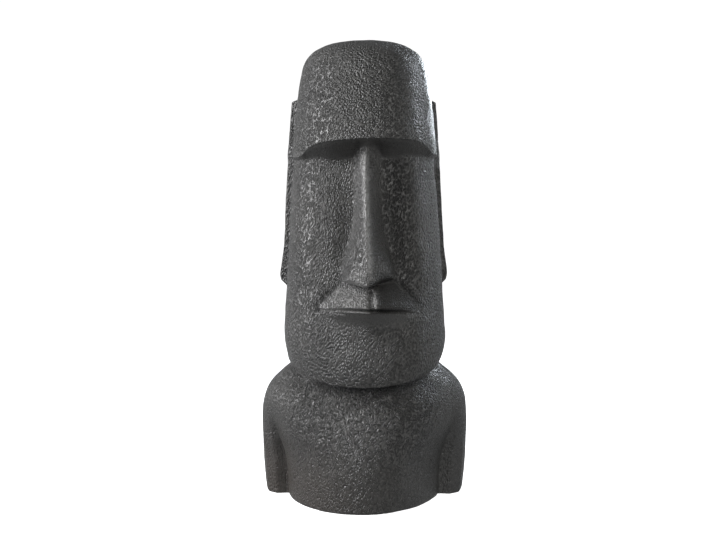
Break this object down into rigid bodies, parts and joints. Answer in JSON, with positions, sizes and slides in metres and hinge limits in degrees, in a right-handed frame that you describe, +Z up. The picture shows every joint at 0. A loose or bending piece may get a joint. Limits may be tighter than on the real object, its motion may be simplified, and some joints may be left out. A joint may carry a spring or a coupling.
{
  "type": "moai stone head statue",
  "caption": "Standing garden statue in the form of a moai: a long stone head with a heavy brow, long nose and slab ears on a short torso with arms at its sides and a flat underside.",
  "frame": {"origin": "middle of the bounding box on the flat underside", "axes": "+Z up, the torso faces -Y, +X is to the right of someone facing the statue"},
  "size_m": [0.5098, 0.4078, 1.0993],
  "materials": {
    "dark_stone": "tooled, dark charcoal with a slight sheen"
  },
  "bodies": {
    "root": {"moai_statue": "dark_stone"}
  },
  "joints": []
}
